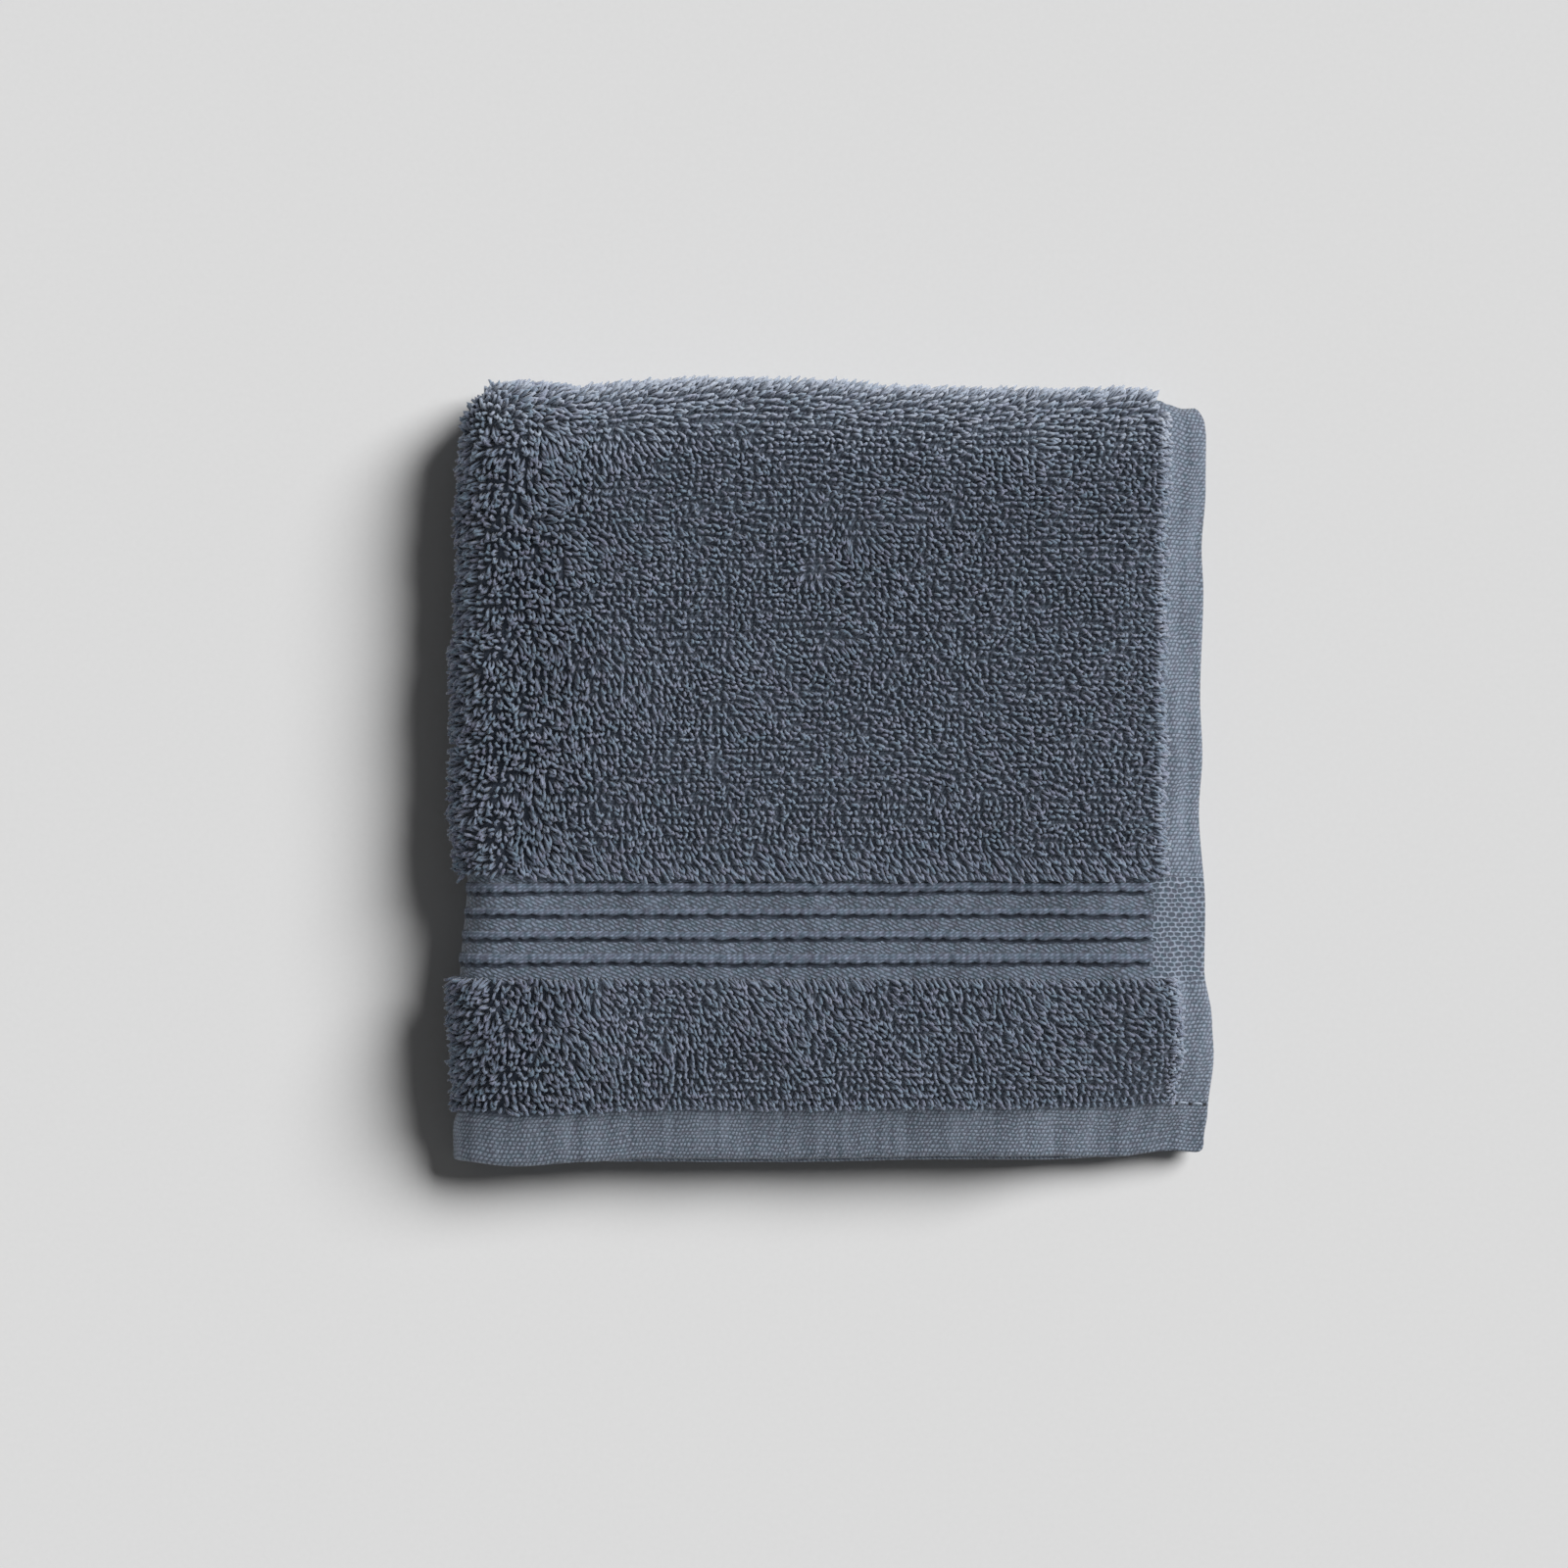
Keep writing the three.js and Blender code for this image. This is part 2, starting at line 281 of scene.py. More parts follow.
def addNode(tree, kind, inputs=None, **settings):
    # a kind that doesn't name its family is a shader node
    node = tree.nodes.new(kind if "Node" in kind else "ShaderNode" + kind)
    for name, value in settings.items():
        setattr(node, name, value)
    setInputs(tree, node, inputs or {})
    return node


def newMaterial(name):
    material = bpy.data.materials.new(name)
    material.use_nodes = True
    tree = material.node_tree
    return material, tree, tree.nodes["Principled BSDF"]


def layered(tree, colour, layers):
    # colours laid over one another, each by its share
    for share, over in layers:
        colour = addNode(tree, "Mix", {"Factor": share, "A": colour, "B": over}, data_type="RGBA")
    return colour


def patches(tree, place, scale, detail, swing, low=0.0, high=1.0):
    # soft random patches from low to high, where the noise swings that far about its middle
    noise = addNode(tree, "TexNoise", {"Vector": place, "Scale": scale, "Detail": detail})
    return addNode(tree, "MapRange", {
        "Value": noise, "From Min": 0.5 - swing, "From Max": 0.5 + swing, "To Min": low, "To Max": high})


def finish(tree, shader, colour, height, relief, surface):
    # relief: how strong, and how deep in mm
    strength, depth = relief
    bump = addNode(tree, "Bump", {"Height": height, "Strength": strength, "Distance": depth * metre})
    setInputs(tree, shader, {"Base Color": colour, "Normal": bump, **surface})


yarn = {
    "foot": "#525a69",  # down between the loops hardly any light gets out
    "dark": "#4a5364",
    "light": "#717b8c",
    "paintedSheen": "#959ca8",  # painted sheen, where loops catch the light side-on
    "warm": "#6b5b6b",
    "cool": "#466b70",
    "drift": 0.2,  # how much of the warm and the cool is in it
    "dyePatches": 380.0,  # to a metre: one for every two loops
    "relief": (0.35, 0.15),
    # some light soaks 0.35 mm through the cotton
    "surface": {"Roughness": 0.92, "Sheen Weight": 0.2, "Subsurface Weight": 0.25,
                "Subsurface Radius": (1, 1, 1), "Subsurface Scale": 0.35 * metre, "IOR": 1.5,
                "Specular IOR Level": 0.2},
}


def makePileMaterial():
    # Ring-spun cotton terry, soft two-ply loops: matt, each loop dyed a shade apart, with painted light
    # and shade by the folds and a faint painted sheen
    material, tree, shader = newMaterial("cottonTerryPile")
    tint, rise = [addNode(tree, "Attribute", attribute_name=name).outputs["Fac"]
                  for name in ("tint", "rise")]
    # the dye takes a little unevenly from loop to loop
    place = addNode(tree, "TexCoord").outputs["Object"]
    hue = patches(tree, place, yarn["dyePatches"], 2.0, 0.14)
    drift = layered(tree, yarn["cool"], [(hue, yarn["warm"])])
    # loops whose tone is past the light yarn get painted sheen
    sheenShare = addNode(tree, "Math", [tint, 1.0], operation="SUBTRACT", use_clamp=True)
    # the lower a loop's yarn is, the more its neighbours shade it
    sunk = addNode(tree, "MapRange", {
        "Value": rise, "From Min": 0.15, "From Max": 0.85, "To Min": 1.0, "To Max": 0.0})
    colour = layered(tree, yarn["dark"], [(tint, yarn["light"]), (yarn["drift"], drift),
                                          (sheenShare, yarn["paintedSheen"]), (sunk, yarn["foot"])])
    # the two plies wind round each other about once every 1.6 mm of yarn
    alongYarn = addNode(tree, "UVMap", uv_map="yarn")
    strands = addNode(tree, "TexWave", {"Vector": alongYarn, "Scale": 1.0, "Distortion": 0.6},
                      wave_type="BANDS", bands_direction="DIAGONAL").outputs["Fac"]
    finish(tree, shader, colour, strands, yarn["relief"], yarn["surface"])
    return material


# Lockstitch of the end hems, which shows where it crosses the bare side hems
stitches = {
    "length": 2.2,
    "pitch": 3.0,
    "first": 0.9,
    "count": 3,
    "fromEnd": 11.0,
    "thick": 0.24,
    "bulge": 0.2,
    "sides": 5,
}

weave = {
    # each weave from its dark, painted shade between the crossings, to its light, painted highlight on
    # them; the band's pair is darker as painted shade of its finer relief
    "dark": "#2a313d",
    "light": "#788291",
    "bandDark": "#21272f",
    "bandLight": "#626c7c",
    "ribDark": "#232a36",
    "ribLight": "#7a8599",
    "deep": "#2c333f",  # ground under the pile, too much in its shade to show
    # painted shade in the crevice under each rib
    "crevice": "#161b24",
    # painted shade in the needle holes
    "hole": "#151920",
    "warm": "#5d5b67",
    "cool": "#4a5e66",
    # mm across and along, shift and slant of the rows, and how narrow and how full a crossing is. The
    # spacings are real ones, but the twill's rows and the ribs' yarns are drawn half as coarse again as
    # their 0.5 and 0.8 mm, which would not show.
    "knuckle": (0.88, 0.88, 0.15, 0.4, 0.75, 0.9),
    "dash": (1.5, 1.06, 0.5, 0.0, 1.3, 0.9),
    "twill": (1.7, 0.72, 0.45, 0.0, 1.0, 0.8),
    "twillSlant": 25.0,
    "rope": (1.25, 0.8, 0.4, 0.6, 0.9, 1.3),
    "wander": 1.6,  # how far yarns leave their rows
    "uneven": 0.7,  # how unlike two crossings are
    "streaks": 0.25,
    "relief": (0.9, 0.2),
    "surface": {"Roughness": 0.85, "Sheen Weight": 0.15, "IOR": 1.5,
                "Specular IOR Level": 0.25},
    "ribSurface": {"Roughness": 0.8, "Sheen Weight": 0.04, "IOR": 1.5, "Specular IOR Level": 0.18},
}


def bumpsInRows(tree, place, weaving):
    # rounded yarn crossings in rows: 1 on a crossing, 0 between. Each row is shifted against the last
    # one, and a slant leans the crossings over.
    across, along, shift, slant, narrow, full = weaving
    row = addNode(tree, "Math", [place["Y"], along], operation="DIVIDE")
    rowNumber = addNode(tree, "Math", [row], operation="FLOOR")
    column = addNode(tree, "Math", [place["X"], across], operation="DIVIDE")
    for value, share in ((rowNumber, shift), (row, slant)):
        column = addNode(tree, "Math", [value, share, column], operation="MULTIPLY_ADD")
    bumps = 1.0
    for place, power in ((row, narrow), (column, full)):
        for operation, other in (("FRACT", 0.0), ("MULTIPLY", math.pi), ("SINE", 0.0), ("POWER", power),
                                 ("MULTIPLY", bumps)):
            place = addNode(tree, "Math", [place, other], operation=operation)
        bumps = place
    return bumps


def between(tree, value, start, end):
    above = addNode(tree, "Math", [value, start], operation="GREATER_THAN")
    below = addNode(tree, "Math", [value, end], operation="LESS_THAN")
    return addNode(tree, "Math", [above, below], operation="MULTIPLY")


def flatPlace(tree):
    # millimetres across and along the flat cloth, from the piece's own UV
    flat = addNode(tree, "UVMap", uv_map="clothPlace")
    return addNode(tree, "VectorMath", [flat, (1000, 1000, 1000)], operation="MULTIPLY")


def heathered(tree, place, colour):
    # yarns of the same dye lot drift a little towards teal and violet
    hue = patches(tree, place, 0.6, 3.0, 0.15)
    return layered(tree, colour, [(0.25, layered(tree, weave["cool"], [(hue, weave["warm"])]))])


def makeWovenMaterial():
    # Flat-woven cotton hem and band ground: matt, with small yarn knuckles in even rows, in painted
    # highlight with painted shade between them
    material, tree, shader = newMaterial("flatWovenCotton")
    inMillimetres = flatPlace(tree)
    wander = addNode(tree, "TexNoise", {"Vector": inMillimetres, "Scale": 0.22, "Detail": 2.0})
    reach = (weave["wander"], weave["wander"], 0)
    place = addNode(tree, "VectorMath", [wander.outputs["Color"], reach, inMillimetres],
                    operation="MULTIPLY_ADD")
    slanted = addNode(tree, "VectorRotate", {
        "Vector": place, "Angle": -math.radians(weave["twillSlant"])}, rotation_type="Z_AXIS")
    exact, split, alongTwill = [addNode(tree, "SeparateXYZ", [spot]).outputs
                                for spot in (inMillimetres, place, slanted)]
    knuckles, dashes, twill = [bumpsInRows(tree, spot, weave[key]) for spot, key
                               in ((split, "knuckle"), (split, "dash"), (alongTwill, "twill"))]
    basket = addNode(tree, "MapRange", {
        "Value": dashes, "From Min": 0.1, "From Max": 0.55, "To Min": 0.9, "To Max": -0.1})
    inBand = between(tree, exact["Y"], bandStart - 1.0, bandEnd + 0.5)
    betweenHems = between(tree, split["X"], sideHem + 0.8, clothWidth - sideHem + 0.8)
    bandWeave = addNode(tree, "Mix", {"Factor": betweenHems, "A": basket, "B": twill})
    height = addNode(tree, "Mix", {"Factor": inBand, "A": knuckles, "B": bandWeave})
    # no two crossings catch the light alike
    uneven = patches(tree, inMillimetres, 1.1, 3.0, 0.2, 1 - weave["uneven"], 1 + weave["uneven"])
    height = addNode(tree, "Math", [height, uneven], operation="MULTIPLY")
    # uneven tension shows as faint streaks along the warp
    streaky = addNode(tree, "VectorMath", [inMillimetres, (1.0, 0.12, 1.0)], operation="MULTIPLY")
    shade = patches(tree, streaky, 0.35, 3.0, 0.2, -weave["streaks"], weave["streaks"])
    lit = addNode(tree, "Math", [height, shade], operation="ADD", use_clamp=True)
    # painted highlight on the crossings and painted shade between them, darker on the band
    hem, band = [layered(tree, weave[dark], [(lit, weave[light])])
                 for dark, light in (("dark", "light"), ("bandDark", "bandLight"))]
    onBand = addNode(tree, "Math", [inBand, betweenHems], operation="MULTIPLY")
    # the needle left holes along the lockstitch, painted dark as their shade
    fromHole = addNode(tree, "Math", [exact["X"], stitches["pitch"], 0.0], operation="WRAP")
    pierced = 1.0
    for value, start, end in ((fromHole, stitches["first"] - 0.45, stitches["first"] + 0.35),
                              (exact["Y"], stitches["fromEnd"] - 0.5, stitches["fromEnd"] + 0.3),
                              (exact["X"], 0.0, sideBare)):
        pierced = addNode(tree, "Math", [between(tree, value, start, end), pierced], operation="MULTIPLY")
    deep = addNode(tree, "Attribute", attribute_name="deep").outputs["Fac"]
    colour = heathered(tree, inMillimetres, layered(tree, hem, [(onBand, band)]))
    colour = layered(tree, colour, [(deep, weave["deep"]), (pierced, weave["hole"])])
    finish(tree, shader, colour, height, weave["relief"], weave["surface"])
    return material


def makeRibMaterial():
    # Cord-like ribs of the band: thick yarns laid aslant, in painted highlight on their crossings,
    # with painted shade in the crevice below each rib where they dive into the ground
    material, tree, shader = newMaterial("satinWovenRib")
    inMillimetres = flatPlace(tree)
    split = addNode(tree, "SeparateXYZ", [inMillimetres]).outputs
    yarns = bumpsInRows(tree, split, weave["rope"])
    patchy = patches(tree, inMillimetres, 0.9, 3.0, 0.2)
    height = addNode(tree, "Math", [yarns, patchy], operation="MULTIPLY")
    # painted highlight on the yarn crossings, partly in random patches of tone
    lit = addNode(tree, "Mix", {"Factor": 0.25, "A": height, "B": patchy})
    # painted shade in the crevice, darker in pits beside the stitches
    crevice = addNode(tree, "Attribute", attribute_name="crevice").outputs["Fac"]
    colour = heathered(tree, inMillimetres, layered(tree, weave["ribDark"], [(lit, weave["ribLight"])]))
    colour = layered(tree, colour, [(crevice, weave["crevice"])])
    finish(tree, shader, colour, height, weave["relief"], weave["ribSurface"])
    return material


def makeGrainyMaterial(name, grains, dark, light, surface):
    # even but for a fine grain, of that many grains to a metre
    material, tree, shader = newMaterial(name)
    place = addNode(tree, "TexCoord").outputs["Object"]
    grain = addNode(tree, "TexNoise", {"Vector": place, "Scale": grains, "Detail": 2.0})
    setInputs(tree, shader, {"Base Color": layered(tree, dark, [(grain, light)]), **surface})
    return material


pileMaterial = makePileMaterial()
wovenMaterial = makeWovenMaterial()
ribMaterial = makeRibMaterial()
# Spun polyester sewing thread with plies of 0.4 mm: paler than the cloth, a little glossy
threadMaterial = makeGrainyMaterial("sewingThread", 2500.0, "#6c7684", "#929ba8", {"Roughness": 0.55})
# Seamless paper sweep with a fibre of about 1 mm: even, pale and matt
floorMaterial = makeGrainyMaterial("paperSweep", 900.0, "#dadada", "#dedede",
                                   {"Roughness": 0.9, "Specular IOR Level": 0.1})
print("materials made")


# Stage, light and camera

stage = {
    "floorSize": 3.0,
    "distance": 1.25,  # camera above the floor
    "frameWidth": 0.3357,  # width of the picture at the height of the cloth
    "clothLevel": 0.016,
    "offCentre": (-0.0097, -0.00273),
    "sunFrom": (1.06, 0.72, 1.0),
    "sunSize": 33.0,  # degrees across: a large soft light
    "sunStrength": 4.64,
    "fill": 0.08,
    "cardSize": 170.0,  # a broad overhead card that lights the cloth alone
    "cardStrength": 1.95,
}
litByCard = bpy.data.collections.new("litByOverheadCard")


def addObject(name, data):
    item = bpy.data.objects.new(name, data)
    bpy.context.scene.collection.objects.link(item)
    return item


def addSun(name, strength, size):
    sun = addObject(name, bpy.data.lights.new(name, "SUN"))
    sun.data.energy = strength
    sun.data.angle = math.radians(size)
    return sun


def makeStage():
    half = stage["floorSize"] / 2
    mesh = bpy.data.meshes.new("floor")
    mesh.from_pydata([(-half, -half, 0), (half, -half, 0), (half, half, 0), (-half, half, 0)], [],
                     [(0, 1, 2, 3)])
    mesh.materials.append(floorMaterial)
    floor = addObject("floor", mesh)

    sun = addSun("softKey", stage["sunStrength"], stage["sunSize"])
    right, back, up = stage["sunFrom"]
    sun.rotation_euler = (0, math.atan2(math.hypot(right, back), up), math.atan2(back, right))
    card = addSun("overheadCard", stage["cardStrength"], stage["cardSize"])
    card.light_linking.receiver_collection = litByCard

    world = bpy.data.worlds.new("studio")
    world.use_nodes = True
    setInputs(world.node_tree, world.node_tree.nodes["Background"], {
        "Color": "#ffffff", "Strength": stage["fill"]})
    bpy.context.scene.world = world

    camera = addObject("camera", bpy.data.cameras.new("camera"))
    camera.data.sensor_width = 36
    camera.data.lens = 36 * (stage["distance"] - stage["clothLevel"]) / stage["frameWidth"]
    camera.location = (*stage["offCentre"], stage["distance"])
    bpy.context.scene.camera = camera
    bpy.context.scene.view_settings.view_transform = "Standard"


makeStage()
print("stage and camera made")


# Meshes

def makeObject(name, points, faces, material, uv=None, uvName="clothPlace"):
    mesh = bpy.data.meshes.new(name)
    mesh.from_pydata((points * metre).tolist(), [], faces)
    mesh.polygons.foreach_set("use_smooth", [True] * len(mesh.polygons))
    mesh.materials.append(material)
    if uv is not None:
        layer = mesh.uv_layers.new(name=uvName)
        corners = np.empty(len(mesh.loops), np.int32)
        mesh.loops.foreach_get("vertex_index", corners)
        layer.data.foreach_set("uv", uv[corners].astype(np.float32).ravel())
    return addObject(name, mesh)


def setAttribute(mesh, name, values, kind="FLOAT", field="value"):
    # one value for each point of the mesh
    values = np.asarray(values, np.float32).ravel()
    mesh.attributes.new(name, kind, "POINT").data.foreach_set(field, values)


def evenPlaces(start, end, spacing):
    return np.linspace(start, end, max(int(round((end - start) / spacing)), 1) + 1)


def joinPlaces(*lists):
    return np.unique(np.round(np.concatenate(lists), 4))


# Ground weave, band and hems: one closed sheet on the cloth's folds

sheetDetail = {
    "border": 13.0,  # how far in the mesh follows the hems
    "edgeRound": (0, 0.12, 0.4, 0.9),
    "hemSpacing": 0.9,
    "pileSpacing": 2.6,
    "bandSpacing": 0.55,
    "bandMargin": 1.2,
    "bendSpacing": 1.2,
    "creaseSpacing": 0.8,
    "pucker": 0.16,  # unevenness of the hems, and how much of it the band has
    "bandPucker": 0.15,
    "cornerRise": 0.3,
    "cornerRadius": 1.6,
    "tangle": 0.4,  # feet of the loops, too dense to see between
    "inPile": 2.6,  # the sheet stays within this, inside the pile
}


def pileShare(u, v):
    # 1 where loops stand, 0 on the hems and the band
    shoulder = cloth["shoulder"]
    onBand = within(v, bandStart, bandEnd, shoulder)
    return (smooth(fromSides(u), sideBare, sideBare + shoulder)
            * smooth(fromEnds(v), endBare, endBare + shoulder) * (1 - onBand))


def foldLift(u, v):
    # round the folds the ground stands out too, but less than the loops do
    return 0.4 * np.maximum(pileReach(u, v) - cloth["pileHalf"], 0) * pileShare(u, v)


def sheetHalf(u, v):
    # half the thickness of the ground weave, thicker where it is turned over as a hem
    ground = mix(cloth["groundHalf"], cloth["bandHalf"], within(v, bandStart, bandEnd, 1))
    bare = np.minimum(smooth(fromSides(u), sideHem - 0.5, sideHem + 0.3),
                      smooth(fromEnds(v), endHem - 0.5, endHem + 0.3))
    half = mix(cloth["hemHalf"], ground, bare)
    edge = ramp(np.minimum(fromSides(u), fromEnds(v)), 0, cloth["hemEdge"])
    return half * np.sqrt(np.clip(1 - (1 - edge) ** 2, 0.03, 1))


def wovenOffset(u, v, half):
    # flat weave keeps its thickness where the stack sinks
    fromHem, angle, turn, y, inner = clothPlace(u, v)
    return half / stackShare(hemX - fromHem, y)


def roundCorners(u, v):
    # the corners are turned in, not cut square
    radius = sheetDetail["cornerRadius"]
    a, b = np.maximum(radius - fromSides(u), 0), np.maximum(radius - fromEnds(v), 0)
    drawn = 1 - np.maximum(a, b) / np.maximum(np.hypot(a, b), 1e-6)
    drawn = np.where((a > 0) & (b > 0), drawn, 0)
    return (u + np.where(u < clothWidth / 2, 1, -1) * a * drawn,
            v + np.where(v < clothLength / 2, 1, -1) * b * drawn)


def makeSheet():
    border, coarse, edgeRound = (sheetDetail[key] for key in ("border", "pileSpacing", "edgeRound"))
    hem = joinPlaces(edgeRound, evenPlaces(edgeRound[-1], border, sheetDetail["hemSpacing"]))
    straight = evenPlaces(border, hemX, coarse)
    bend = evenPlaces(hemX, hemX + bendLength, sheetDetail["bendSpacing"])
    across = joinPlaces(hem, straight, bend, clothWidth - straight, clothWidth - hem)
    low, high = bandStart - sheetDetail["bandMargin"], bandEnd + sheetDetail["bandMargin"]
    back = creaseY + creaseLength
    stretches = [(border, low, coarse), (low, high, sheetDetail["bandSpacing"]), (high, creaseY, coarse),
                 (creaseY, back, sheetDetail["creaseSpacing"]), (back, clothLength - border, coarse)]
    along = joinPlaces(hem, *[evenPlaces(*stretch) for stretch in stretches], clothLength - hem)
    u, v = np.meshgrid(across, along)
    half = sheetHalf(u, v)
    u, v = roundCorners(u, v)
    pucker = (smoothNoise(u, v, 7.0, 11) + 0.5 * smoothNoise(u, v, 3.1, 12)) * sheetDetail["pucker"]
    onBand = (v > bandStart) & (v < bandEnd)
    pucker = np.where(onBand, sheetDetail["bandPucker"] * pucker, pucker)
    corner = (1 - smooth(u, sideHem - 0.4, sideHem + 0.6)) * (v < endHem)
    lift, piled, nearFold = foldLift(u, v), pileShare(u, v), nearSideFold(u)
    tangle = sheetDetail["tangle"] * piled * (1 - 0.9 * nearFold)
    outward = wovenOffset(u, v, half + pucker + sheetDetail["cornerRise"] * corner) + lift + tangle
    inward = wovenOffset(u, v, -half + pucker) + lift
    inPile = sheetDetail["inPile"]
    points = np.concatenate([clothPoint(u, v, offset).reshape(-1, 3) for offset in (
        np.minimum(outward, inPile + lift), np.maximum(inward, -inPile))])
    rows, columns = u.shape
    count = rows * columns
    number = np.arange(count).reshape(rows, columns)
    a, b = number[:-1, :-1].ravel(), number[1:, :-1].ravel()
    c, d = number[1:, 1:].ravel(), number[:-1, 1:].ravel()
    rim = np.concatenate([number[0, :], number[1:, -1], number[-1, -2::-1], number[-2:0:-1, 0]])
    after = np.roll(rim, -1)
    outer, inner = np.stack([a, b, c, d], 1), np.stack([a, d, c, b], 1) + count
    edge = np.stack([rim, after, after + count, rim + count], 1)
    faces = np.concatenate([outer, inner, edge]).tolist()
    uv = np.stack([u.ravel(), v.ravel()], 1) * metre
    item = makeObject("washclothSheet", points, faces, wovenMaterial, np.concatenate([uv, uv]))
    # the ground is darkest under the pile by the side fold, and lit again where the top fold opens it
    deep = smooth(piled, 0.3, 1) * mix(0.5, 1, nearFold) * (1 - 0.9 * smooth(v, creaseY - 9, creaseY))
    setAttribute(item.data, "deep", np.tile(deep.ravel(), 2))
    return item


sheet = makeSheet()
print("sheet made:", len(sheet.data.polygons), "faces")


# Ribs of the woven band, each a low ridge with a scalloped lower edge

ribShape = {
    # middle, width and height of each
    "ribs": [(58.8, 1.8, 0.9), (53.6, 1.25, 0.7), (48.6, 1.45, 0.75), (43.7, 1.9, 0.95)],
    "spacing": 0.45,
    "scallop": 0.5,  # how far the lower edge bulges between two stitches of the ground
    "scallopLength": 3.8,
    "scallopDrift": 0.35,
    "swell": 0.2,  # how much plumper a rib is where it bulges
    "lumps": 0.1,
    "wander": 0.2,
    "wanderLength": 17.0,
    "crevice": 1.3,
    "pits": 0.5,  # unevenness of the crevices' painted shade
    "atFold": 0.4,  # ribs pull flat round the side fold
}
# across a rib: place by its width, how far below its foot, rise by its height, share of the scallop,
# and whether it lies in the crevice, which is painted in shade
ribProfile = [
    (-0.5, 1, -0.15, 0.3, 0), (-0.5, 0.55, 0.1, 0.9, 0.9), (-0.5, 0, 0.12, 1, 1), (-0.56, 0, 0.5, 1, 0),
    (-0.36, 0, 0.92, 0.6, 0), (0, 0, 1, 0.2, 0), (0.36, 0, 0.8, 0, 0), (0.64, 0, -0.15, 0, 0),
]


def makeRibs():
    points, faces, uvs, crevices = [], [], [], []
    across = evenPlaces(sideHem - 0.5, clothWidth - sideHem + 0.5, ribShape["spacing"])
    bend = np.cos(clothPlace(across, across * 0)[1]) ** 2
    ends = smooth(fromSides(across), sideHem - 0.5, sideHem + 1.2) * mix(1, ribShape["atFold"], bend)

    def chance(length, seed):
        return smoothNoise(across, across * 0, length, seed)

    for seed, (centre, width, height) in enumerate(ribShape["ribs"]):
        wander = ribShape["wander"] * chance(ribShape["wanderLength"], 20 + seed)
        drift = ribShape["scallopDrift"] * chance(ribShape["scallopLength"] * 1.3, 30 + seed)
        bulge = np.abs(np.sin(math.pi * (across / ribShape["scallopLength"] + drift + 0.3 * seed)))
        scallop = ribShape["scallop"] * (0.6 - bulge)
        plump = 0.95 + ribShape["swell"] * (bulge - 0.5) + ribShape["lumps"] * chance(2.1, 35 + seed)
        # the painted shade of the crevice is darkest beside the stitches
        pits = bulge + ribShape["pits"] * chance(1.7, 38 + seed)
        for side, below, rise, scalloped, crevice in ribProfile:
            v = centre + wander + side * width + scallop * scalloped - below * ribShape["crevice"]
            level = cloth["bandHalf"] + rise * height * plump * ends
            points.append(clothPoint(across, v, wovenOffset(across, v, level) + foldLift(across, v)))
            uvs.append(np.stack([across, v], 1) * metre)
            crevices.append(np.clip(crevice * (1.3 - 0.7 * pits), 0, 1))
        count, sides = len(across), len(ribProfile)
        number = seed * sides * count + np.arange(sides * count).reshape(sides, count)
        for k in range(sides):
            low, high = number[k], number[(k + 1) % sides]
            faces.append(np.stack([low[:-1], high[:-1], high[1:], low[1:]], 1))
        faces += [number[::-1, :1].T, number[:, -1:].T]
    allFaces = [face for block in faces for face in block.tolist()]
    item = makeObject("bandRibs", np.concatenate(points), allFaces, ribMaterial, np.concatenate(uvs))
    setAttribute(item.data, "crevice", np.concatenate(crevices))
    return item


bandRibs = makeRibs()
print("ribs made:", len(bandRibs.data.polygons), "faces")


# Along a stitch: place as a share of its length, height in thicknesses, and share of the thickness
stitchPath = [(-0.5, -1.6, 0), (-0.46, 0.1, 0.8), (-0.2, 0.9, 1), (0.2, 0.9, 1), (0.46, 0.1, 0.8),
              (0.5, -1.6, 0)]


def makeStitches():
    sides = stitches["sides"]
    along, lift, share = np.array(stitchPath).T[:, :, None]
    turn = 2 * math.pi * np.arange(sides) / sides
    radius = stitches["thick"] * share
    offset = cloth["hemHalf"] + stitches["thick"] * lift + radius * np.sin(turn)
    aside = stitches["bulge"] * (0.25 - along ** 2) * 4 + radius * np.cos(turn)
    number = np.arange(len(stitchPath) * sides).reshape(-1, sides)
    after = np.roll(number, -1, 1)
    tube = np.stack([number[:-1], after[:-1], after[1:], number[1:]], -1).reshape(-1, 4)
    places = stitches["first"] + (np.arange(stitches["count"]) + 0.5) * stitches["pitch"]
    points, faces = [], []
    for u in np.concatenate([places, clothWidth - places]):
        for v in (stitches["fromEnd"], clothLength - stitches["fromEnd"]):
            for face in (1, -1):
                faces += (tube[:, ::face] + len(points) * number.size).tolist()
                spot = (u + along * stitches["length"] + 0 * turn, v + aside)
                points.append(clothPoint(*spot, face * wovenOffset(*spot, offset)).reshape(-1, 3))
    return makeObject("hemStitches", np.concatenate(points), faces, threadMaterial)


hemStitches = makeStitches()
print("stitches made:", len(hemStitches.data.polygons), "faces")


# Terry loops. A loop is a short arch of yarn, drawn in a few shapes, and Geometry Nodes sets one
# on each root with the turn and size that its place on the cloth asks for.

loopShapes = {  # width, height, twist and thickness of the yarn
    "fine": [(0.58, 2.25, 0.14, 0.33), (0.74, 2.15, -0.22, 0.32), (0.46, 2.35, 0.28, 0.34),
             (0.88, 2.1, -0.08, 0.32)],
    "plain": [(0.8, 2.15, 0.15, 0.44), (1, 2.05, -0.2, 0.42)],
}
# along a loop: place across, twist, height and thickness, as shares of its own
finePath = [(-0.4, 0, -0.28, 0), (-0.5, 0.4, 0.3, 0.85), (-0.46, 1, 0.7, 1), (0, 0, 1, 1.05),
            (0.46, -1, 0.7, 1), (0.5, -0.4, 0.3, 0.85), (0.4, 0, -0.28, 0)]
plainPath = [(-0.45, 0, -0.2, 0), (-0.48, 0.8, 0.62, 1), (0, 0, 1, 1.05), (0.48, -0.8, 0.62, 1),
             (0.45, 0, -0.2, 0)]


